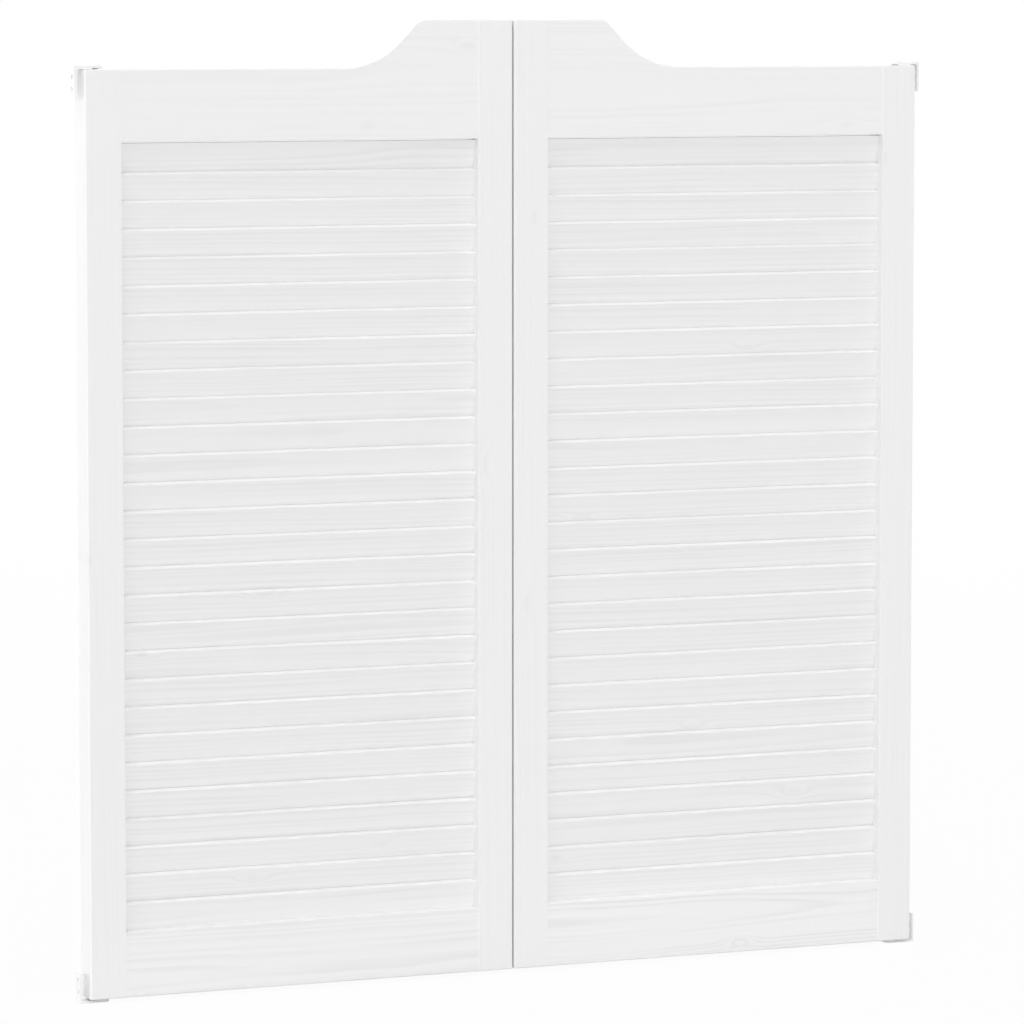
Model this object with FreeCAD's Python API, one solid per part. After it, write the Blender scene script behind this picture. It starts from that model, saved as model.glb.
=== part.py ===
import FreeCAD, Part
import math
import os

# A pair of louvred cafe doors in pine, hung on self-closing pivots so that both leaves swing both ways.
# Frame: X across the doorway, -Y towards the face side, +Z up, origin midway at the foot of the pivots.
# Sizes are in millimetres.

# ---- the pair and its doorway ----
PAIR_WIDTH = 850.0
SHOULDER_HEIGHT = 855.4
CREST_RISE = 44.6
LEAF_THICKNESS = 28.0
MEETING_GAP = 1.6
SWING_CLEARANCE = 0.7

# ---- frame members ----
STILE_WIDTH = 35.0
TOP_RAIL_HEIGHT = 66.5
BOTTOM_RAIL_HEIGHT = 60.9
ARRIS_RADIUS = 1.5
OPENING_ARRIS_RADIUS = 1.2
RAIL_RECESS = 0.6

# ---- the raised top edge: concave sweep, ramp, small crest ----
RAISED_FLAT = 88.0
SWEEP_RADIUS = 80.0
RAMP_ANGLE = 46.0
CREST_RADIUS = 15.0

# ---- slats ----
SLAT_COUNT = 28
SLAT_WIDTH = 31.5
SLAT_THICKNESS = 6.5
SLAT_EDGE_RADIUS = 0.9
SLAT_LEAN = 16.0
SLAT_TENON = 7.5
SLOT_DEPTH = 8.0
TOP_SLAT_GAP = 0.8
TOP_SLAT_TRIM = 1.2
TOP_SLAT_STEP = 28.05
LAST_NOSE_ABOVE_RAIL = 26.8
SLATS_PER_NODE = 2

# ---- dowels ----
DOWEL_RADIUS = 4.0
DOWEL_LENGTH = 40.0
WOOD_BEYOND_DOWEL = 1.75
DOWEL_END_ROOM = 0.5
LOWEST_DOWEL_ABOVE_FOOT = 26.0
DOWEL_BELOW_OPENING = 12.9
DOWELS_ABOVE_OPENING = (15.0, 38.0)

# ---- pivots ----
PIVOT_INSET = 15.0
BRACKET_THICKNESS = 2.0
BRACKET_WIDTH = 14.0
BRACKET_LEG = 28.0
BRACKET_BEND_RADIUS = 1.0
JAMB_SCREW_RADIUS = 2.1
JAMB_SCREW_HEAD_RADIUS = 3.4
JAMB_SCREW_SPACING = 11.0
JAMB_SCREW_FROM_TIP = 7.0

THRUST_WASHER_RADIUS = 7.0
THRUST_WASHER_THICKNESS = 1.5
SPINDLE_FOOT_SIDE = 5.0
JOURNAL_RADIUS = 4.0
JOURNAL_LENGTH = 12.0
SPINDLE_RADIUS = 2.5
SPINDLE_TOP_ROOM = 3.0

CUP_RADIUS = 6.75
CUP_WALL = 1.0
CUP_HEIGHT = 42.0
FLANGE_THICKNESS = 2.0
FLANGE_WIDTH = 16.0
FLANGE_OUTER_REACH = 11.0
FLANGE_INNER_REACH = 15.0
FLANGE_CORNER_RADIUS = 3.0
HOUSING_SCREW_RADIUS = 1.5
HOUSING_SCREW_HEAD_RADIUS = 2.9
HOUSING_SCREW_LENGTH = 16.0
HOUSING_SCREW_TIP_LENGTH = 3.0
HOUSING_SCREW_SPACING = 8.4
DRIVE_RECESS_RADIUS = 1.2
DRIVE_RECESS_DEPTH = 1.2
BOTTOM_BUSH_LENGTH = 10.0

SPRING_WIRE_RADIUS = 0.8
SPRING_SIDE_ROOM = 0.4
SPRING_TURNS = 8.0
SPRING_COIL_GAP = 0.15
SPRING_ABOVE_BUSH = 2.0
SPRING_TAIL_ROOM = 0.2

TOP_PIN_RADIUS = 3.0
TOP_PIN_HEAD_RADIUS = 5.0
TOP_PIN_HEAD_THICKNESS = 1.2
TOP_PIN_IN_BUSH = 17.0
TOP_BUSH_RADIUS = 5.0
TOP_BUSH_LENGTH = 20.0
TOP_BUSH_RIM_RADIUS = 6.5
TOP_BUSH_RIM_THICKNESS = 1.0

# ---- clearances ----
RUNNING = 0.05
THRUST_GAP = 0.05
PRESSED = 0.02
GLUED = 0.1
TOP_BRACKET_CLEARANCE = 1.0

# ---- worked out from the above ----
LEAF_WIDTH = (PAIR_WIDTH - MEETING_GAP) / 2
FOOT = BRACKET_THICKNESS + THRUST_WASHER_THICKNESS + THRUST_GAP
SHOULDER = FOOT + SHOULDER_HEIGHT
CREST = SHOULDER + CREST_RISE
OPENING_BOTTOM = FOOT + BOTTOM_RAIL_HEIGHT
OPENING_TOP = SHOULDER - TOP_RAIL_HEIGHT
RAIL_START = STILE_WIDTH
RAIL_END = LEAF_WIDTH - STILE_WIDTH
HALF_THICKNESS = LEAF_THICKNESS / 2
RAIL_THICKNESS = LEAF_THICKNESS - 2 * RAIL_RECESS
CORNER_REACH = math.hypot(PIVOT_INSET - ARRIS_RADIUS, HALF_THICKNESS - ARRIS_RADIUS) + ARRIS_RADIUS
JAMB_FACE = PIVOT_INSET - CORNER_REACH - SWING_CLEARANCE - BRACKET_THICKNESS
DOWEL_IN_STILE = STILE_WIDTH - PIVOT_INSET - CUP_RADIUS - WOOD_BEYOND_DOWEL - DOWEL_END_ROOM
FLANGE_SCREW_X = PIVOT_INSET + (CUP_RADIUS + FLANGE_INNER_REACH) / 2
TOP_ARM_UNDERSIDE = SHOULDER + TOP_BRACKET_CLEARANCE
SLAT_NOSE_ABOVE_MIDDLE = (
    (SLAT_WIDTH / 2 - SLAT_EDGE_RADIUS) * math.cos(math.radians(SLAT_LEAN))
    + (SLAT_THICKNESS / 2 - SLAT_EDGE_RADIUS) * math.sin(math.radians(SLAT_LEAN))
    + SLAT_EDGE_RADIUS)
SPRING_MEAN_RADIUS = CUP_RADIUS - CUP_WALL - SPRING_SIDE_ROOM - SPRING_WIRE_RADIUS
SPRING_PITCH = 2 * SPRING_WIRE_RADIUS + SPRING_COIL_GAP
SPRING_TAIL_HALF_WIDTH = SPRING_WIRE_RADIUS + SPRING_TAIL_ROOM
LOW_TAIL_HEIGHT = FOOT + BOTTOM_BUSH_LENGTH + SPRING_ABOVE_BUSH + SPRING_WIRE_RADIUS
HIGH_TAIL_HEIGHT = LOW_TAIL_HEIGHT + SPRING_TURNS * SPRING_PITCH
HIGH_TAIL_TURN = 360 * SPRING_TURNS

Z_AXIS = FreeCAD.Vector(0, 0, 1)
X_AXIS = FreeCAD.Vector(1, 0, 0)
Y_AXIS = FreeCAD.Vector(0, 1, 0)


# A leaf is drawn once, with x measured inwards from its outer edge. Everything is then placed on its side.

def point(x, y, z):
    return FreeCAD.Vector(x, y, z)


def box(x_range, y_range, z_range):
    size = [high - low for low, high in (x_range, y_range, z_range)]
    return Part.makeBox(*size, point(x_range[0], y_range[0], z_range[0]))


def centred_y(width):
    return (-width / 2, width / 2)


def upright_cylinder(radius, x, y, z_range):
    return Part.makeCylinder(radius, z_range[1] - z_range[0], point(x, y, z_range[0]), Z_AXIS)


def extruded(edges, direction):
    return Part.Face(Part.Wire(edges)).extrude(direction)


def polyline(points):
    return [Part.LineSegment(a, b).toShape() for a, b in zip(points, points[1:])]


def long_edges(shape, direction, least_length):
    """Straight edges of a shape that run along a direction for at least a length."""
    found = []
    for edge in shape.Edges:
        if edge.Length < least_length or not isinstance(edge.Curve, Part.Line):
            continue
        if abs(edge.Curve.Direction.dot(direction)) > 0.999:
            found.append(edge)
    return found


# ---- slats ----

def slat_nose_heights():
    """Top of each slat, from the uppermost one down, before that one's end is planed off level."""
    top_slat = OPENING_TOP - TOP_SLAT_GAP + TOP_SLAT_TRIM
    second_slat = top_slat - TOP_SLAT_STEP
    last_slat = OPENING_BOTTOM + LAST_NOSE_ABOVE_RAIL
    pitch = (second_slat - last_slat) / (SLAT_COUNT - 2)
    return [top_slat] + [second_slat - i * pitch for i in range(SLAT_COUNT - 1)]


def slat_bar(nose_height, x_range, grown=0.0):
    """A leaning bar with softened corners, its upper edge towards the face side."""
    half_thickness = SLAT_THICKNESS / 2 + grown
    half_width = SLAT_WIDTH / 2 + grown
    bar = box(x_range, (-half_thickness, half_thickness), (-half_width, half_width))
    bar = bar.makeFillet(SLAT_EDGE_RADIUS + grown, long_edges(bar, X_AXIS, 0.0))
    bar.rotate(point(0, 0, 0), X_AXIS, SLAT_LEAN)
    bar.translate(point(0, 0, nose_height - SLAT_NOSE_ABOVE_MIDDLE))
    return bar


def slat_bars(x_range, grown=0.0):
    bars = [slat_bar(nose, x_range, grown) for nose in slat_nose_heights()]
    level = OPENING_TOP - TOP_SLAT_GAP + grown
    planed_off = box((x_range[0] - 1, x_range[1] + 1), centred_y(LEAF_THICKNESS), (level, level + SLAT_WIDTH))
    return [bars[0].cut(planed_off)] + bars[1:]


def slat_slots(x_range):
    return Part.makeCompound(slat_bars(x_range, GLUED))


# ---- dowels ----

def dowel_heights():
    low = [FOOT + LOWEST_DOWEL_ABOVE_FOOT, OPENING_BOTTOM - DOWEL_BELOW_OPENING]
    high = [OPENING_TOP + height for height in DOWELS_ABOVE_OPENING]
    return low + high


def dowel_bars(grown, end_room):
    """Round bars across both ends of the rails, at the dowels or, when grown, at their holes."""
    bars = []
    length = DOWEL_LENGTH + 2 * end_room
    starts = (
        RAIL_START - DOWEL_IN_STILE - end_room,
        RAIL_END + DOWEL_IN_STILE + end_room - length,
    )
    for start in starts:
        for height in dowel_heights():
            bars.append(Part.makeCylinder(DOWEL_RADIUS + grown, length, point(start, 0, height), X_AXIS))
    return bars


def dowels():
    return Part.makeCompound(dowel_bars(0.0, 0.0))


def dowel_holes():
    return Part.makeCompound(dowel_bars(GLUED, DOWEL_END_ROOM))


# ---- timber ----

def hinge_stile():
    blank = box((0, STILE_WIDTH), centred_y(LEAF_THICKNESS), (FOOT, SHOULDER))
    blank = stile_arrises(blank, STILE_WIDTH, -1)
    stile = blank.cut(slat_slots((STILE_WIDTH - SLOT_DEPTH, STILE_WIDTH + 1)))
    stile = stile.cut(dowel_holes())
    stile = stile.cut(spring_housing_recess())
    return stile.cut(top_bush_recess())


def meeting_stile():
    blank = box((RAIL_END, LEAF_WIDTH), centred_y(LEAF_THICKNESS), (FOOT, CREST))
    blank = stile_arrises(blank, RAIL_END, 1)
    stile = blank.cut(slat_slots((RAIL_END - 1, RAIL_END + SLOT_DEPTH)))
    return stile.cut(dowel_holes())


def stile_arrises(blank, inner_x, into):
    """Rounds a stile's edges. Those beside the rails are rounded only as far as the rails lie back."""
    outer = [edge for edge in blank.Edges if abs(edge.CenterOfMass.x - inner_x) > 0.001]
    stile = blank.makeFillet(ARRIS_RADIUS, outer)
    z_range = (FOOT - 1, CREST + 1)
    for side in (-1, 1):
        axis_x = inner_x + into * RAIL_RECESS
        axis_y = side * (HALF_THICKNESS - RAIL_RECESS)
        corner = box(sorted((axis_x, inner_x - into)), sorted((axis_y, side * (HALF_THICKNESS + 1))), z_range)
        stile = stile.cut(corner.cut(upright_cylinder(RAIL_RECESS, axis_x, axis_y, z_range)))
    return stile


def rail_top_edge():
    """The top rail's upper outline: shoulder, concave sweep, ramp, crest and raised flat."""
    turn = math.radians(RAMP_ANGLE)
    crest_end = point(LEAF_WIDTH - RAISED_FLAT, 0, CREST)
    crest_middle = crest_end - swept(CREST_RADIUS, turn / 2)
    ramp_end = crest_end - swept(CREST_RADIUS, turn)
    sweep = swept(SWEEP_RADIUS, turn)
    ramp_rise = ramp_end.z - SHOULDER - sweep.z
    sweep_end = ramp_end - point(ramp_rise / math.tan(turn), 0, ramp_rise)
    sweep_start = sweep_end - sweep
    sweep_middle = sweep_start + swept(SWEEP_RADIUS, turn / 2)
    return [
        Part.LineSegment(point(RAIL_START, 0, SHOULDER), sweep_start).toShape(),
        Part.Arc(sweep_start, sweep_middle, sweep_end).toShape(),
        Part.LineSegment(sweep_end, ramp_end).toShape(),
        Part.Arc(ramp_end, crest_middle, crest_end).toShape(),
        Part.LineSegment(crest_end, point(RAIL_END, 0, CREST)).toShape(),
    ]


def swept(radius, angle):
    """Travel along an arc between the horizontal and a slope at the angle."""
    return point(radius * math.sin(angle), 0, radius * (1 - math.cos(angle)))


def top_rail():
    ends = polyline([
        point(RAIL_END, 0, CREST),
        point(RAIL_END, 0, OPENING_TOP),
        point(RAIL_START, 0, OPENING_TOP),
        point(RAIL_START, 0, SHOULDER),
    ])
    blank = extruded(rail_top_edge() + ends, point(0, RAIL_THICKNESS, 0))
    blank.translate(point(0, -RAIL_THICKNESS / 2, 0))
    return rail_arrises(blank, OPENING_TOP).cut(dowel_holes())


def bottom_rail():
    blank = box((RAIL_START, RAIL_END), centred_y(RAIL_THICKNESS), (FOOT, OPENING_BOTTOM))
    rail = rail_arrises(blank, OPENING_BOTTOM)
    rail = rail.cut(slat_bar(slat_nose_heights()[-1], (RAIL_START - 1, RAIL_END + 1), GLUED))
    return rail.cut([dowel_holes(), spring_housing_recess()])


def rail_arrises(blank, opening_height):
    """Rounds a rail's long edges, less beside the opening than on the leaf's outside."""
    outer, _ = face_outline_edges(blank, opening_height)
    rail = blank.makeFillet(ARRIS_RADIUS, outer)
    _, beside_opening = face_outline_edges(rail, opening_height)
    return rail.makeFillet(OPENING_ARRIS_RADIUS, beside_opening)


def face_outline_edges(rail, opening_height):
    """Edges round a rail's two faces, without its square-cut ends: the outer ones, then those beside the opening."""
    outer, beside_opening = [], []
    for edge in rail.Edges:
        bounds = edge.BoundBox
        in_a_face = bounds.YLength < 0.001
        at_an_end = bounds.XLength < 0.001
        if in_a_face and not at_an_end:
            level = abs(edge.CenterOfMass.z - opening_height) < 0.001
            (beside_opening if level else outer).append(edge)
    return outer, beside_opening


# ---- leaf hardware ----

def cup_room(grown):
    return upright_cylinder(CUP_RADIUS + grown, PIVOT_INSET, 0, (FOOT, FOOT + CUP_HEIGHT + grown))


def flange_plate(grown):
    x_range = (PIVOT_INSET - FLANGE_OUTER_REACH - grown, PIVOT_INSET + FLANGE_INNER_REACH + grown)
    plate = box(x_range, centred_y(FLANGE_WIDTH + 2 * grown), (FOOT, FOOT + FLANGE_THICKNESS + grown))
    return plate.makeFillet(FLANGE_CORNER_RADIUS + grown, long_edges(plate, Z_AXIS, 0.0))


def screw_places():
    half = HOUSING_SCREW_SPACING / 2
    return [(FLANGE_SCREW_X, -half), (FLANGE_SCREW_X, half)]


def screw_body(x, y, grown):
    """A countersunk wood screw standing on its head at the foot of the stile."""
    head_height = HOUSING_SCREW_HEAD_RADIUS - HOUSING_SCREW_RADIUS
    tip_start = HOUSING_SCREW_LENGTH - HOUSING_SCREW_TIP_LENGTH
    outline = polyline([
        point(0, 0, 0),
        point(HOUSING_SCREW_HEAD_RADIUS + grown, 0, 0),
        point(HOUSING_SCREW_RADIUS + grown, 0, head_height),
        point(HOUSING_SCREW_RADIUS + grown, 0, tip_start),
        point(0, 0, HOUSING_SCREW_LENGTH + grown),
        point(0, 0, 0),
    ])
    body = Part.Face(Part.Wire(outline)).revolve(point(0, 0, 0), Z_AXIS, 360)
    body.translate(point(x, y, FOOT))
    return body


def spring_housing_recess():
    screws = [screw_body(x, y, GLUED) for x, y in screw_places()]
    return cup_room(GLUED).fuse([flange_plate(GLUED)] + screws)


def spring_housing():
    shell = cup_room(0.0).fuse(flange_plate(0.0))
    bore = upright_cylinder(CUP_RADIUS - CUP_WALL, PIVOT_INSET, 0, (FOOT, FOOT + CUP_HEIGHT - CUP_WALL))
    tail_hole = Part.makeCylinder(
        SPRING_TAIL_HALF_WIDTH, CUP_RADIUS, point(PIVOT_INSET, 0, LOW_TAIL_HEIGHT), X_AXIS)
    screws = [screw_body(x, y, RUNNING) for x, y in screw_places()]
    return shell.cut([bore, tail_hole] + screws).removeSplitter()


def housing_screws():
    screws = []
    for x, y in screw_places():
        drive = upright_cylinder(DRIVE_RECESS_RADIUS, x, y, (FOOT, FOOT + DRIVE_RECESS_DEPTH))
        screws.append(screw_body(x, y, 0.0).cut(drive))
    return Part.makeCompound(screws)


def bottom_bush():
    z_range = (FOOT, FOOT + BOTTOM_BUSH_LENGTH)
    sleeve = upright_cylinder(CUP_RADIUS - CUP_WALL - PRESSED, PIVOT_INSET, 0, z_range)
    return sleeve.cut(upright_cylinder(JOURNAL_RADIUS + RUNNING, PIVOT_INSET, 0, z_range))


def closing_spring():
    """A torsion spring: its low tail enters the cup's wall and its high tail the spindle's slot."""
    height = HIGH_TAIL_HEIGHT - LOW_TAIL_HEIGHT
    coil_path = Part.makeHelix(SPRING_PITCH, height, SPRING_MEAN_RADIUS)
    start = point(SPRING_MEAN_RADIUS, 0, 0)
    rise_angle = math.atan2(SPRING_PITCH, 2 * math.pi * SPRING_MEAN_RADIUS)
    heading = point(0, math.cos(rise_angle), math.sin(rise_angle))
    section = Part.Wire(Part.Circle(start, heading, SPRING_WIRE_RADIUS).toShape())
    coil = Part.Wire(coil_path).makePipeShell([section], True, True)
    tail_length = CUP_RADIUS - SPRING_MEAN_RADIUS
    low_tail = Part.makeCylinder(SPRING_WIRE_RADIUS, tail_length, start, X_AXIS)
    high_tail = Part.makeCylinder(SPRING_WIRE_RADIUS, SPRING_MEAN_RADIUS, point(0, 0, height), X_AXIS)
    high_tail.rotate(point(0, 0, 0), Z_AXIS, HIGH_TAIL_TURN)
    spring = coil.fuse([low_tail, high_tail])
    spring.translate(point(PIVOT_INSET, 0, LOW_TAIL_HEIGHT))
    return spring


def top_bush_profile(grown):
    """Rim and sleeve, hanging from the stile's top end."""
    z_range = (SHOULDER - TOP_BUSH_LENGTH - grown, SHOULDER)
    rim_range = (SHOULDER - TOP_BUSH_RIM_THICKNESS - grown, SHOULDER)
    sleeve = upright_cylinder(TOP_BUSH_RADIUS + grown, PIVOT_INSET, 0, z_range)
    return sleeve.fuse(upright_cylinder(TOP_BUSH_RIM_RADIUS + grown, PIVOT_INSET, 0, rim_range))


def top_bush_recess():
    return top_bush_profile(PRESSED)


def top_bush():
    bore_range = (SHOULDER - TOP_BUSH_LENGTH, SHOULDER)
    bore = upright_cylinder(TOP_PIN_RADIUS + RUNNING, PIVOT_INSET, 0, bore_range)
    return top_bush_profile(0.0).cut(bore).removeSplitter()


# ---- jamb hardware ----

def bracket():
    """An angle with its arm's underside at z = 0 and its leg rising along the jamb."""
    arm_tip_radius = BRACKET_WIDTH / 2
    arm = box((JAMB_FACE, PIVOT_INSET), centred_y(BRACKET_WIDTH), (0, BRACKET_THICKNESS))
    tip = upright_cylinder(arm_tip_radius, PIVOT_INSET, 0, (0, BRACKET_THICKNESS))
    leg_range = (JAMB_FACE, JAMB_FACE + BRACKET_THICKNESS)
    leg = box(leg_range, centred_y(BRACKET_WIDTH), (0, BRACKET_LEG))
    angle = arm.fuse([tip, leg]).removeSplitter()
    angle = angle.makeFillet(BRACKET_BEND_RADIUS, bend_edges(angle))
    head_depth = JAMB_SCREW_HEAD_RADIUS - JAMB_SCREW_RADIUS
    sink_start = leg_range[1] - head_depth
    for height in jamb_screw_heights():
        hole_start = point(JAMB_FACE, 0, height)
        hole = Part.makeCylinder(JAMB_SCREW_RADIUS, BRACKET_THICKNESS, hole_start, X_AXIS)
        sink = Part.makeCone(
            JAMB_SCREW_RADIUS, JAMB_SCREW_HEAD_RADIUS, head_depth, point(sink_start, 0, height), X_AXIS)
        angle = angle.cut([hole, sink])
    return angle


def bend_edges(angle):
    """The inner corner between arm and leg."""
    inner_x = JAMB_FACE + BRACKET_THICKNESS
    found = []
    for edge in long_edges(angle, Y_AXIS, BRACKET_WIDTH / 2):
        centre = edge.CenterOfMass
        if abs(centre.x - inner_x) < 0.001 and abs(centre.z - BRACKET_THICKNESS) < 0.001:
            found.append(edge)
    return found


def jamb_screw_heights():
    upper = BRACKET_LEG - JAMB_SCREW_FROM_TIP
    return (upper - JAMB_SCREW_SPACING, upper)


def square_bar(side, z_range):
    return box((PIVOT_INSET - side / 2, PIVOT_INSET + side / 2), centred_y(side), z_range)


def bottom_bracket():
    return bracket().cut(square_bar(SPINDLE_FOOT_SIDE + 2 * PRESSED, (0, BRACKET_THICKNESS)))


def top_bracket():
    """The same angle turned over, with a round hole for the pin."""
    angle = bracket().mirror(point(0, 0, 0), Z_AXIS)
    angle.translate(point(0, 0, TOP_ARM_UNDERSIDE + BRACKET_THICKNESS))
    arm_range = (TOP_ARM_UNDERSIDE, TOP_ARM_UNDERSIDE + BRACKET_THICKNESS)
    return angle.cut(upright_cylinder(TOP_PIN_RADIUS + RUNNING, PIVOT_INSET, 0, arm_range))


def top_pin():
    arm_top = TOP_ARM_UNDERSIDE + BRACKET_THICKNESS
    shank = upright_cylinder(TOP_PIN_RADIUS, PIVOT_INSET, 0, (SHOULDER - TOP_PIN_IN_BUSH, arm_top))
    head_range = (arm_top, arm_top + TOP_PIN_HEAD_THICKNESS)
    head = upright_cylinder(TOP_PIN_HEAD_RADIUS, PIVOT_INSET, 0, head_range)
    return shank.fuse(head).removeSplitter()


def thrust_washer():
    z_range = (BRACKET_THICKNESS, BRACKET_THICKNESS + THRUST_WASHER_THICKNESS)
    disc = upright_cylinder(THRUST_WASHER_RADIUS, PIVOT_INSET, 0, z_range)
    return disc.cut(upright_cylinder(JOURNAL_RADIUS + RUNNING, PIVOT_INSET, 0, z_range))


def spindle():
    top = FOOT + CUP_HEIGHT - CUP_WALL - SPINDLE_TOP_ROOM
    foot = square_bar(SPINDLE_FOOT_SIDE, (0, BRACKET_THICKNESS))
    journal_top = BRACKET_THICKNESS + JOURNAL_LENGTH
    journal = upright_cylinder(JOURNAL_RADIUS, PIVOT_INSET, 0, (BRACKET_THICKNESS, journal_top))
    stem = upright_cylinder(SPINDLE_RADIUS, PIVOT_INSET, 0, (journal_top, top))
    slot_x = (PIVOT_INSET - JOURNAL_RADIUS, PIVOT_INSET + JOURNAL_RADIUS)
    slot_z = (HIGH_TAIL_HEIGHT - SPRING_TAIL_HALF_WIDTH, top)
    slot = box(slot_x, centred_y(2 * SPRING_TAIL_HALF_WIDTH), slot_z)
    slot.rotate(point(PIVOT_INSET, 0, 0), Z_AXIS, HIGH_TAIL_TURN)
    return foot.fuse([journal, stem]).cut(slot).removeSplitter()


# ---- assembly ----

def slat_nodes():
    """Slats from the top down, named by their places in the row."""
    slats = slat_bars((RAIL_START - SLAT_TENON, RAIL_END + SLAT_TENON))
    nodes = {}
    for first in range(0, SLAT_COUNT, SLATS_PER_NODE):
        group = slats[first:first + SLATS_PER_NODE]
        nodes["slats_%02d_%02d" % (first + 1, first + len(group))] = Part.makeCompound(group)
    return nodes


def one_side():
    nodes = {
        "hinge_stile": hinge_stile(),
        "meeting_stile": meeting_stile(),
        "top_rail": top_rail(),
        "bottom_rail": bottom_rail(),
        "dowels": dowels(),
        "top_bush": top_bush(),
        "spring_housing": spring_housing(),
        "housing_screws": housing_screws(),
        "bottom_bush": bottom_bush(),
        "closing_spring": closing_spring(),
        "top_bracket": top_bracket(),
        "top_pin": top_pin(),
        "bottom_bracket": bottom_bracket(),
        "thrust_washer": thrust_washer(),
        "spindle": spindle(),
    }
    nodes.update(slat_nodes())
    return nodes


def placed_left(shape):
    left = shape.copy()
    left.translate(point(-PAIR_WIDTH / 2, 0, 0))
    return left


def write_step(name, shape):
    shape.exportStep(os.path.join("parts", name + ".step"))


os.makedirs("parts", exist_ok=True)
for node, shape in one_side().items():
    left = placed_left(shape)
    write_step("left_" + node, left)
    write_step("right_" + node, left.mirror(point(0, 0, 0), X_AXIS))
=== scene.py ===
import math

import bmesh
import bpy
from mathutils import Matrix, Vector


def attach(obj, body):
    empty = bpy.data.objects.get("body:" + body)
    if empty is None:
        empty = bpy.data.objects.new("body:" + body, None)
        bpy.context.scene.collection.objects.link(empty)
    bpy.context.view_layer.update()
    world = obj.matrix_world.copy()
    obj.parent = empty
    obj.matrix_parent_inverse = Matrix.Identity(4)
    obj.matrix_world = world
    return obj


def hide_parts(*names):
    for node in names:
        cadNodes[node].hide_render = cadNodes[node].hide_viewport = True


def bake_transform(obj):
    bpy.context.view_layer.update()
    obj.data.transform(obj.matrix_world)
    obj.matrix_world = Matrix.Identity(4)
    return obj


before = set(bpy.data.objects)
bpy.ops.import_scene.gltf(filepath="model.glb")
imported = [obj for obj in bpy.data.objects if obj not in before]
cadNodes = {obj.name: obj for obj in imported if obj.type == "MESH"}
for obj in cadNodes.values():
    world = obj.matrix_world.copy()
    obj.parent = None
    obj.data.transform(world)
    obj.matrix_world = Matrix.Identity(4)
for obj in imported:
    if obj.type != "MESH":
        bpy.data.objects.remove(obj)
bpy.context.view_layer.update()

scene = bpy.context.scene
sides = ("left", "right")
print("doors: frame loaded,", len(cadNodes), "nodes")


# small helpers for node trees

def addNode(tree, kind, inputs=None, **settings):
    # inputs may be values or other nodes' sockets; settings come first, because some of them change the sockets
    made = tree.nodes.new(kind)
    for name, value in settings.items():
        setattr(made, name, value)
    for socket, value in (inputs or {}).items():
        if isinstance(value, bpy.types.NodeSocket):
            tree.links.new(value, made.inputs[socket])
        else:
            made.inputs[socket].default_value = value
    return made


def calc(tree, operation, *values):  # one Math node, in shader and geometry trees alike
    return addNode(tree, "ShaderNodeMath", dict(enumerate(values)), operation=operation).outputs[0]


def along3(tree, x, y, z):  # three numbers made into a vector
    return addNode(tree, "ShaderNodeCombineXYZ", {0: x, 1: y, 2: z}).outputs[0]


def split3(tree, vector):  # and back again
    return addNode(tree, "ShaderNodeSeparateXYZ", {0: vector}).outputs


def stretched(tree, along, across, depth, perMetre):  # a board's coordinates, scaled along it and across it
    perAlong, perAcross = perMetre
    return along3(tree, calc(tree, "MULTIPLY", along, perAlong), calc(tree, "MULTIPLY", across, perAcross),
                  calc(tree, "MULTIPLY", depth, perAcross))


def objectPlace(tree):
    return addNode(tree, "ShaderNodeTexCoord").outputs["Object"]


def newMaterial(name):
    made = bpy.data.materials.new(name)
    made.use_nodes = True
    made.node_tree.nodes.clear()
    tree = made.node_tree
    shader = addNode(tree, "ShaderNodeBsdfPrincipled")
    addNode(tree, "ShaderNodeOutputMaterial", {"Surface": shader.outputs[0]})
    return made, tree, shader


def toned(tree, shader, colour, tone):  # the colour, lighter or darker by a factor
    coloured = addNode(tree, "ShaderNodeVectorMath", {0: colour, "Scale": tone}, operation="SCALE")
    tree.links.new(coloured.outputs[0], shader.inputs["Base Color"])


def bumped(tree, shader, relief):  # relief in metres
    bump = addNode(tree, "ShaderNodeBump", {"Strength": 1.0, "Distance": 1.0, "Height": relief})
    tree.links.new(bump.outputs[0], shader.inputs["Normal"])


# timber under paint: growth rings are circles about a pith that lies beside the board, lengths in metres

pineGrain = {
    "ringSpacing": 0.0054,
    "ringWobble": 0.014,  # how far the rings wander along a board
    "wobblePerMetre": (2.4, 9.0),  # along the board, across it
    "taper": 0.010,  # the pith drifts away from the board, which opens the arches
    "unevenPerRing": 0.45,  # wide and narrow years: how often they change, and by how many rings
    "unevenRings": 2.2,
    "lateWood": ((0.42, 0.10), (0.80, 1.0), (0.90, 0.9)),  # place within a ring, darkness
    "ringLift": 0.2,  # share of the rings' tone by which the wood between them is lighter
    "fibrePerMetre": (7.0, 320.0),
    "cloudPerMetre": (5.0, 45.0),
    "cloudFade": (0.35, 0.62),  # cloud levels between which the rings come up, and how much of them shows
    "cloudShare": (0.15, 1.0),
    "detail": {"wobble": 2.5, "uneven": 1.0, "fibre": 3.0, "cloud": 2.0},  # octaves of each noise
    "knotCell": (0.34, 0.075),  # one knot at most in each cell, along and across
    "knotScatter": 0.8,
    "knotSize": (0.016, 0.0055),
    "knotShare": 0.45,
    "knotLift": 0.0085,
    "knotFocus": 4.0,  # how tightly the dark sits in the eye
}

paint = {
    "colour": (0.94, 0.94, 0.94),
    "roughness": 0.46,
    "roughSpread": 0.10,
    "ringTone": 0.054,  # how much darker the late wood shows
    "fibreTone": 0.022,
    "cloudTone": 0.011,
    "knotTone": 0.040,
    "ringDepth": 0.000020,
    "fibreDepth": 0.000014,
}

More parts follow.
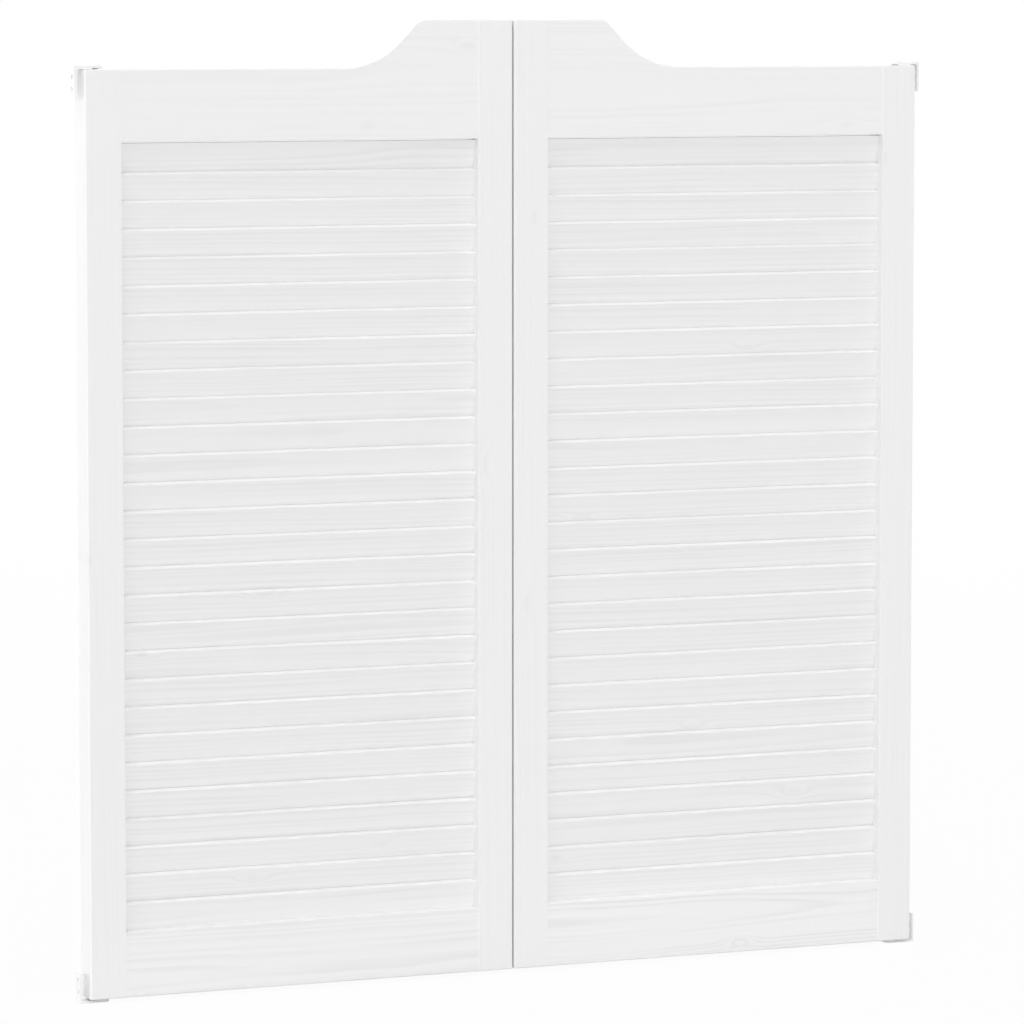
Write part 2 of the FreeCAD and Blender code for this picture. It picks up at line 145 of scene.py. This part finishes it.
beech = {
    "colour": (0.62, 0.45, 0.28),
    "roughness": 0.6,
    "roughSpread": 0.10,
    "ringTone": 0.14,
    "fibreTone": 0.20,
    "cloudTone": 0.08,
    "knotTone": 0.0,
    "ringDepth": 0.00002,
    "fibreDepth": 0.00003,
}


def knots(tree, along, across):
    # One feature point in each stretched cell, some of them knots. Gives how near the nearest one is, 1 at its eye.
    cellAlong, cellAcross = pineGrain["knotCell"]
    place = along3(tree, calc(tree, "DIVIDE", along, cellAlong), calc(tree, "DIVIDE", across, cellAcross), 0.0)
    cells = addNode(tree, "ShaderNodeTexVoronoi",
                    {"Vector": place, "Scale": 1.0, "Randomness": pineGrain["knotScatter"]}, voronoi_dimensions="2D")
    away = addNode(tree, "ShaderNodeVectorMath", {0: place, 1: cells.outputs["Position"]}, operation="SUBTRACT")
    squares = []
    for part, cell, size in zip(split3(tree, away.outputs[0])[:2], pineGrain["knotCell"], pineGrain["knotSize"]):
        squares.append(calc(tree, "POWER", calc(tree, "MULTIPLY", part, cell / size), 2.0))
    near = calc(tree, "EXPONENT", calc(tree, "MULTIPLY", calc(tree, "ADD", *squares), -1.0))
    picked = addNode(tree, "ShaderNodeSeparateColor", {0: cells.outputs["Color"]}).outputs[0]
    chosen = calc(tree, "LESS_THAN", picked, pineGrain["knotShare"])
    return calc(tree, "MULTIPLY", near, chosen)


def grain(tree, shader, finish, along, across, depth):
    # along, across, depth: the board's own coordinates, with the pith at zero across and depth
    def noise(name):
        place = stretched(tree, along, across, depth, pineGrain[name + "PerMetre"])
        inputs = {"Vector": place, "Scale": 1.0, "Detail": pineGrain["detail"][name]}
        return addNode(tree, "ShaderNodeTexNoise", inputs).outputs[0]

    knot = knots(tree, along, across)
    wobble = noise("wobble")
    radius = calc(tree, "SQRT", calc(tree, "ADD", calc(tree, "POWER", across, 2.0), calc(tree, "POWER", depth, 2.0)))
    for share, amount in ((along, "taper"), (wobble, "ringWobble"), (knot, "knotLift")):
        radius = calc(tree, "MULTIPLY_ADD", share, pineGrain[amount], radius)
    rings = calc(tree, "DIVIDE", radius, pineGrain["ringSpacing"])
    uneven = addNode(tree, "ShaderNodeTexNoise",
                     {"W": rings, "Scale": pineGrain["unevenPerRing"], "Detail": pineGrain["detail"]["uneven"]},
                     noise_dimensions="1D").outputs[0]
    rings = calc(tree, "MULTIPLY_ADD", uneven, pineGrain["unevenRings"], rings)

    # dark late wood at the end of each ring, which shows here and there through the paint
    late = addNode(tree, "ShaderNodeValToRGB", {0: calc(tree, "FRACT", rings)})
    late.color_ramp.elements[0].position = 0.0
    late.color_ramp.elements[1].position = 1.0
    late.color_ramp.elements[1].color = (0, 0, 0, 1)
    for position, level in pineGrain["lateWood"]:
        stop = late.color_ramp.elements.new(position)
        stop.color = (level, level, level, 1)
    fibre, cloud = noise("fibre"), noise("cloud")
    fade = dict(enumerate([cloud, *pineGrain["cloudFade"], *pineGrain["cloudShare"]]))
    lateShown = calc(tree, "MULTIPLY", late.outputs[0], addNode(tree, "ShaderNodeMapRange", fade).outputs[0])

    lightest = 1.0 + finish["ringTone"] * pineGrain["ringLift"]
    tone = calc(tree, "MULTIPLY_ADD", lateShown, -finish["ringTone"], lightest)
    tone = calc(tree, "MULTIPLY_ADD", calc(tree, "SUBTRACT", fibre, 0.5), -finish["fibreTone"] * 2, tone)
    tone = calc(tree, "MULTIPLY_ADD", calc(tree, "SUBTRACT", cloud, 0.5), finish["cloudTone"] * 2, tone)
    eye = calc(tree, "POWER", knot, pineGrain["knotFocus"])
    tone = calc(tree, "MULTIPLY_ADD", eye, -finish["knotTone"], tone)
    toned(tree, shader, finish["colour"], tone)
    relief = calc(tree, "MULTIPLY", lateShown, finish["ringDepth"])
    bumped(tree, shader, calc(tree, "MULTIPLY_ADD", fibre, finish["fibreDepth"], relief))
    rough = calc(tree, "MULTIPLY_ADD", fibre, finish["roughSpread"], finish["roughness"] - finish["roughSpread"] / 2)
    tree.links.new(rough, shader.inputs["Roughness"])


def boardMaterial(name, finish, lengthwise, shift):
    # lengthwise is the axis that the board runs along; shift moves the board about in its log
    made, tree, shader = newMaterial(name)
    x, y, z = split3(tree, objectPlace(tree))
    order = (x, z, y) if lengthwise == "x" else (z, x, y)
    along, across, depth = [calc(tree, "ADD", part, move) for part, move in zip(order, shift)]
    grain(tree, shader, finish, along, across, depth)
    return made


def slatMaterial():
    # each slat carries its own coordinates and its own place in the log
    made, tree, shader = newMaterial("paintedPineSlats")
    place = addNode(tree, "ShaderNodeAttribute", attribute_name="boardPlace").outputs["Vector"]
    moved = addNode(tree, "ShaderNodeAttribute", attribute_name="boardShift").outputs["Vector"]
    own = addNode(tree, "ShaderNodeVectorMath", {0: place, 1: moved}, operation="ADD").outputs[0]
    along, depth, across = split3(tree, own)
    grain(tree, shader, paint, along, across, depth)
    return made


def finishNode(node, material):
    mesh = cadNodes[node].data
    mesh.materials.clear()
    mesh.materials.append(material)


# Axis the board runs along, its place in the log (along, across, depth), and how plainly its grain shows.
boards = {
    "left_hinge_stile": ("z", (0.3, 0.452, 0.048), 0.4),
    "left_meeting_stile": ("z", (1.9, 0.061, 0.030), 0.45),
    "left_top_rail": ("x", (2.2, -0.862, 0.052), 0.5),
    "left_bottom_rail": ("x", (4.1, -0.020, 0.036), 1.25),
    "right_hinge_stile": ("z", (5.7, -0.448, 0.042), 0.4),
    "right_meeting_stile": ("z", (7.2, 0.016, 0.025), 0.45),
    "right_top_rail": ("x", (9.6, -0.838, 0.058), 0.7),
    "right_bottom_rail": ("x", (12.8, -0.044, 0.033), 1.6),
}
dowelPlace = ("x", (0.4, 0.02, 0.01))


def stronger(finish, share):
    # the same finish with its grain fainter or plainer to see, and its relief unchanged
    scaled = {name: finish[name] * share for name in ("ringTone", "fibreTone")}
    return dict(finish, **scaled)


for node, (lengthwise, shift, share) in boards.items():
    finishNode(node, boardMaterial("paintedPine_" + node, stronger(paint, share), lengthwise, shift))
for side in sides:
    finishNode(side + "_dowels", boardMaterial("bareBeech_" + side, beech, *dowelPlace))
print("doors: boards finished,", len(boards))


# slats: one tree makes a leaf's whole row

slatRow = {
    "Slat Count": 28,
    "First Nose": 0.79285,
    "Trim Height": 0.79165,  # the uppermost slat is planed off level here, just under the rail
    "Second Nose": 0.7648,
    "Last Nose": 0.09125,
    "Width": 0.0315,
    "Thickness": 0.0065,
    "Edge Radius": 0.0009,
    "Lean": math.radians(16.0),
    "Edge Points": 6,  # on each rounded corner
}
slatSpan = {"left": (-0.3975, -0.0283), "right": (0.0283, 0.3975)}
slatSeed = {"left": 3, "right": 4}
slatLog = {"Min": (-9.0, -0.022, -0.030), "Max": (9.0, 0.022, 0.058)}  # where in the log a slat may be cut
slatFacing = {"flat": 0.9995, "end": 0.5}  # how squarely a face looks front or back, or along the slat


def slatTree():
    tree = bpy.data.node_groups.new("louvreRow", "GeometryNodeTree")
    sockets = [("Slat Count", "NodeSocketInt"), ("Edge Points", "NodeSocketInt"), ("Seed", "NodeSocketInt")]
    sockets += [(name, "NodeSocketFloat") for name in slatRow if name not in ("Slat Count", "Edge Points")]
    sockets += [("Left End", "NodeSocketFloat"), ("Right End", "NodeSocketFloat"), ("Finish", "NodeSocketMaterial")]
    for name, kind in sockets:
        tree.interface.new_socket(name, in_out="INPUT", socket_type=kind)
    tree.interface.new_socket("Slats", in_out="OUTPUT", socket_type="NodeSocketGeometry")
    given = addNode(tree, "NodeGroupInput").outputs

    # one slat, upright about the origin: a line between its ends, swept with a rounded section
    line = addNode(tree, "GeometryNodeCurvePrimitiveLine", {"Start": along3(tree, given["Left End"], 0.0, 0.0),
                                                            "End": along3(tree, given["Right End"], 0.0, 0.0)})
    section = addNode(tree, "GeometryNodeCurvePrimitiveQuadrilateral",
                      {"Width": given["Thickness"], "Height": given["Width"]})
    rounded = addNode(tree, "GeometryNodeFilletCurve",
                      {"Curve": section.outputs[0], "Count": given["Edge Points"], "Radius": given["Edge Radius"]},
                      mode="POLY")
    bar = addNode(tree, "GeometryNodeCurveToMesh",
                  {"Curve": line.outputs[0], "Profile Curve": rounded.outputs[0], "Fill Caps": True})
    position = addNode(tree, "GeometryNodeInputPosition").outputs[0]
    kept = addNode(tree, "GeometryNodeStoreNamedAttribute",
                   {"Geometry": bar.outputs[0], "Name": "boardPlace", "Value": position},
                   data_type="FLOAT_VECTOR", domain="POINT")

    # only the rounded corners are shaded smooth
    facing = split3(tree, addNode(tree, "GeometryNodeInputNormal").outputs[0])
    curved = calc(tree, "LESS_THAN", calc(tree, "ABSOLUTE", facing[1]), slatFacing["flat"])
    sideways = calc(tree, "LESS_THAN", calc(tree, "ABSOLUTE", facing[0]), slatFacing["end"])
    curved = calc(tree, "MULTIPLY", curved, sideways)
    flat = addNode(tree, "GeometryNodeSetShadeSmooth", {"Geometry": kept.outputs[0], "Shade Smooth": False})
    smooth = addNode(tree, "GeometryNodeSetShadeSmooth",
                     {"Geometry": flat.outputs[0], "Selection": curved, "Shade Smooth": True})
    leaning = addNode(tree, "GeometryNodeTransform",
                      {"Geometry": smooth.outputs[0], "Rotation": along3(tree, given["Lean"], 0.0, 0.0)})

    # the row: the uppermost slat by itself, the rest at an even pitch, each set by the height of its upper edge
    halfWidth, halfThickness = [calc(tree, "SUBTRACT", calc(tree, "MULTIPLY", given[size], 0.5), given["Edge Radius"])
                                for size in ("Width", "Thickness")]
    noseAbove = calc(tree, "MULTIPLY_ADD", halfWidth, calc(tree, "COSINE", given["Lean"]), given["Edge Radius"])
    noseAbove = calc(tree, "MULTIPLY_ADD", halfThickness, calc(tree, "SINE", given["Lean"]), noseAbove)
    pitch = calc(tree, "DIVIDE", calc(tree, "SUBTRACT", given["Second Nose"], given["Last Nose"]),
                 calc(tree, "SUBTRACT", given["Slat Count"], 2.0))
    row = addNode(tree, "GeometryNodeMeshLine", {"Count": given["Slat Count"]})
    which = addNode(tree, "GeometryNodeInputIndex").outputs[0]
    below = calc(tree, "MULTIPLY_ADD", calc(tree, "SUBTRACT", which, 1.0), calc(tree, "MULTIPLY", pitch, -1.0),
                 given["Second Nose"])
    isFirst = calc(tree, "LESS_THAN", which, 0.5)
    step = calc(tree, "SUBTRACT", given["First Nose"], below)
    nose = calc(tree, "MULTIPLY_ADD", isFirst, step, below)
    middle = along3(tree, 0.0, 0.0, calc(tree, "SUBTRACT", nose, noseAbove))
    spots = addNode(tree, "GeometryNodeSetPosition", {"Geometry": row.outputs[0], "Position": middle})
    chance = addNode(tree, "FunctionNodeRandomValue", dict(slatLog, Seed=given["Seed"]), data_type="FLOAT_VECTOR")
    shifted = addNode(tree, "GeometryNodeStoreNamedAttribute",
                      {"Geometry": spots.outputs[0], "Name": "boardShift", "Value": chance.outputs[0]},
                      data_type="FLOAT_VECTOR", domain="POINT")
    copies = addNode(tree, "GeometryNodeInstanceOnPoints",
                     {"Points": shifted.outputs[0], "Instance": leaning.outputs[0]})
    whole = addNode(tree, "GeometryNodeRealizeInstances", {0: copies.outputs[0]})
    here = split3(tree, position)
    trimmed = along3(tree, here[0], here[1], calc(tree, "MINIMUM", here[2], given["Trim Height"]))
    planed = addNode(tree, "GeometryNodeSetPosition", {"Geometry": whole.outputs[0], "Position": trimmed})
    finished = addNode(tree, "GeometryNodeSetMaterial", {"Geometry": planed.outputs[0], "Material": given["Finish"]})
    addNode(tree, "NodeGroupOutput", {0: finished.outputs[0]})
    return tree


def fromTree(tree, name, values):
    # runs a tree on an empty mesh and keeps the result as a plain mesh
    holder = bpy.data.objects.new(name + "Holder", bpy.data.meshes.new(name + "Holder"))
    scene.collection.objects.link(holder)
    modifier = holder.modifiers.new("build", "NODES")
    modifier.node_group = tree
    for item in tree.interface.items_tree:
        if item.in_out == "INPUT" and item.name in values:
            modifier[item.identifier] = values[item.name]
    evaluated = holder.evaluated_get(bpy.context.evaluated_depsgraph_get())
    mesh = bpy.data.meshes.new_from_object(evaluated)
    mesh.name = name
    holder.modifiers.clear()
    bpy.data.objects.remove(holder)
    made = bpy.data.objects.new(name, mesh)
    scene.collection.objects.link(made)
    return made


slatFinish = slatMaterial()
louvreRow = slatTree()
for side in sides:
    leftEnd, rightEnd = slatSpan[side]
    values = dict(slatRow, **{"Left End": leftEnd, "Right End": rightEnd, "Seed": slatSeed[side], "Finish": slatFinish})
    slats = fromTree(louvreRow, side + "Slats", values)
    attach(slats, side + "_leaf")
    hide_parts(*[node for node in cadNodes if node.startswith(side + "_slats")])
    print("doors:", side, "slats,", len(slats.data.polygons), "faces")


# metal, nylon and painted steel

metalFinishes = {
    "zincPlate": {
        "colour": (0.62, 0.63, 0.64), "toneSpread": 0.24, "roughness": 0.36, "roughSpread": 0.2,
        "speckPerMetre": 420.0, "speckDepth": 0.00001,
    },
    "springSteel": {
        "colour": (0.30, 0.30, 0.32), "toneSpread": 0.24, "roughness": 0.28, "roughSpread": 0.2,
        "speckPerMetre": 900.0, "speckDepth": 0.000004,
    },
}
coatFinishes = {
    "whitePaintedSteel": {
        "colour": (0.94, 0.94, 0.94), "toneSpread": 0.03, "roughness": 0.40,
        "peelPerMetre": 700.0, "peelDepth": 0.000012,
    },
    "naturalNylon": {
        "colour": (0.80, 0.79, 0.75), "toneSpread": 0.03, "roughness": 0.50,
        "peelPerMetre": 300.0, "peelDepth": 0.000005,
    },
}


def metalMaterial(name, finish):
    made, tree, shader = newMaterial(name)
    shader.inputs["Metallic"].default_value = 1.0
    speck = addNode(tree, "ShaderNodeTexNoise",
                    {"Vector": objectPlace(tree), "Scale": finish["speckPerMetre"], "Detail": 3.0}).outputs[0]
    spread, roughSpread = finish["toneSpread"], finish["roughSpread"]
    toned(tree, shader, finish["colour"], calc(tree, "MULTIPLY_ADD", speck, spread, 1.0 - spread / 2))
    rough = calc(tree, "MULTIPLY_ADD", speck, roughSpread, finish["roughness"] - roughSpread / 2)
    tree.links.new(rough, shader.inputs["Roughness"])
    bumped(tree, shader, calc(tree, "MULTIPLY", speck, finish["speckDepth"]))
    return made


def coatMaterial(name, finish):
    made, tree, shader = newMaterial(name)
    peel = addNode(tree, "ShaderNodeTexNoise",
                   {"Vector": objectPlace(tree), "Scale": finish["peelPerMetre"], "Detail": 2.0}).outputs[0]
    spread = finish["toneSpread"]
    toned(tree, shader, finish["colour"], calc(tree, "MULTIPLY_ADD", peel, spread, 1.0 - spread / 2))
    shader.inputs["Roughness"].default_value = finish["roughness"]
    bumped(tree, shader, calc(tree, "MULTIPLY", peel, finish["peelDepth"]))
    return made


metals = {name: metalMaterial(name, finish) for name, finish in metalFinishes.items()}
coats = {name: coatMaterial(name, finish) for name, finish in coatFinishes.items()}
hardware = {
    "top_bracket": coats["whitePaintedSteel"],
    "bottom_bracket": coats["whitePaintedSteel"],
    "top_pin": coats["whitePaintedSteel"],
    "top_bush": coats["naturalNylon"],
    "bottom_bush": coats["naturalNylon"],
    "thrust_washer": coats["naturalNylon"],
    "spring_housing": metals["zincPlate"],
    "housing_screws": metals["zincPlate"],
    "spindle": metals["zincPlate"],
}
for side in sides:
    for piece, material in hardware.items():
        finishNode(side + "_" + piece, material)
print("doors: hardware finished")


# Closing springs: a merged copy of each CAD coil, in spring steel, in place of the CAD node. On the door the low
# tail turns with the leaf and the high tail stays in the spindle, so the coil winds up between them.

closingSpring = {"wireThickness": 0.0016, "mergeWithin": 0.000002}

for side in sides:
    node = side + "_closing_spring"
    mesh = cadNodes[node].data.copy()
    mesh.name = side + "CoiledSpring"
    joined = bmesh.new()
    joined.from_mesh(mesh)
    bmesh.ops.remove_doubles(joined, verts=joined.verts, dist=closingSpring["mergeWithin"])
    joined.to_mesh(mesh)
    joined.free()
    mesh.materials.clear()
    mesh.materials.append(metals["springSteel"])
    coil = bpy.data.objects.new(mesh.name, mesh)
    scene.collection.objects.link(coil)
    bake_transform(coil)
    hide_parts(node)
    print("doors:", side, "spring,", len(mesh.polygons), "faces")


# floor, light and camera

studio = {
    "floorHeight": 0.0,
    "floorHalf": 30.0,
    "floorColour": (0.80, 0.80, 0.80, 1),
    "floorWhiteShare": (0.95, 1.0),  # of what the camera sees of the floor: beside the doors, and far off
    "floorFade": (1.5, 5.0),  # distances between which that share changes
    "skyLevel": 0.072,
    "lampDistance": 4.0,
    "lamps": {  # degrees up, degrees round from the face side towards the left, degrees wide, strength
        "wideFrontLamp": (15.0, 0.0, 140.0, 0.72),
        "lowFrontLamp": (5.0, 15.0, 20.0, 0.67),
        "highLamp": (70.0, 20.0, 60.0, 0.78),
        "wideLeftLamp": (10.0, 85.0, 140.0, 0.91),
        "sideLamp": (15.0, 100.0, 30.0, 0.56),
        "wideRightLamp": (20.0, -60.0, 140.0, 0.21),
        "backLamp": (60.0, 160.0, 140.0, 0.56),
        "behindLamp": (10.0, 176.0, 80.0, 0.95),
        "rightLamp": (10.0, -102.0, 50.0, 0.80),
    },
}
cameraSet = {
    "place": (-2.1215, -4.8431, 0.9161),
    "turn": math.radians(23.702),  # to the right of straight at the doors
    "tilt": math.radians(5.156),  # downwards
    "lens": 197.10,
    "sensorWidth": 36.0,
    "seesAsFarAs": 200.0,
}


def seenDirectly(tree):
    # 1 for rays that end in the picture, straight or by way of metal or glass
    path = addNode(tree, "ShaderNodeLightPath").outputs
    both = calc(tree, "MAXIMUM", path["Is Camera Ray"], path["Is Glossy Ray"])
    return calc(tree, "MAXIMUM", both, path["Is Transmission Ray"])


def makeFloor():
    half, height = studio["floorHalf"], studio["floorHeight"]
    corners = [(-half, -half, height), (half, -half, height), (half, half, height), (-half, half, height)]
    mesh = bpy.data.meshes.new("floor")
    mesh.from_pydata(corners, [], [(0, 1, 2, 3)])
    floor = bpy.data.objects.new("floor", mesh)
    scene.collection.objects.link(floor)
    made = bpy.data.materials.new("paleFloor")
    made.use_nodes = True
    tree = made.node_tree
    tree.nodes.clear()
    lit = addNode(tree, "ShaderNodeBsdfDiffuse", {"Color": studio["floorColour"]})
    white = addNode(tree, "ShaderNodeEmission", {"Color": (1, 1, 1, 1), "Strength": 1.0})
    away = addNode(tree, "ShaderNodeVectorMath", {0: objectPlace(tree)}, operation="LENGTH").outputs["Value"]
    fade = dict(enumerate([away, *studio["floorFade"], *studio["floorWhiteShare"]]))
    whiteness = addNode(tree, "ShaderNodeMapRange", fade).outputs[0]
    share = calc(tree, "MULTIPLY", seenDirectly(tree), whiteness)
    both = addNode(tree, "ShaderNodeMixShader", {0: share, 1: lit.outputs[0], 2: white.outputs[0]})
    addNode(tree, "ShaderNodeOutputMaterial", {"Surface": both.outputs[0]})
    mesh.materials.append(made)


def makeSky():
    sky = bpy.data.worlds.new("studioSky")
    scene.world = sky
    sky.use_nodes = True
    tree = sky.node_tree
    tree.nodes.clear()
    seen = seenDirectly(tree)
    strength = calc(tree, "MULTIPLY_ADD", seen, 1.0 - studio["skyLevel"], studio["skyLevel"])
    light = addNode(tree, "ShaderNodeBackground", {"Color": (1, 1, 1, 1), "Strength": strength})
    addNode(tree, "ShaderNodeOutputWorld", {"Surface": light.outputs[0]})


def makeLamps():
    for name, (rise, turn, width, strength) in studio["lamps"].items():
        rise, turn = math.radians(rise), math.radians(turn)
        data = bpy.data.lights.new(name, "SUN")
        data.angle = math.radians(width)
        data.energy = strength
        lamp = bpy.data.objects.new(name, data)
        towards = Vector((-math.sin(turn) * math.cos(rise), -math.cos(turn) * math.cos(rise), math.sin(rise)))
        lamp.location = towards * studio["lampDistance"]
        lamp.rotation_euler = towards.to_track_quat("Z", "Y").to_euler()
        scene.collection.objects.link(lamp)


def makeCamera():
    data = bpy.data.cameras.new("camera")
    data.sensor_width = cameraSet["sensorWidth"]
    data.lens = cameraSet["lens"]
    data.clip_end = cameraSet["seesAsFarAs"]
    camera = bpy.data.objects.new("camera", data)
    camera.location = cameraSet["place"]
    camera.rotation_euler = (math.pi / 2 - cameraSet["tilt"], 0.0, -cameraSet["turn"])
    scene.collection.objects.link(camera)
    scene.camera = camera


makeFloor()
makeSky()
makeLamps()
makeCamera()
scene.view_settings.view_transform = "Standard"
print("doors: floor, light and camera set")
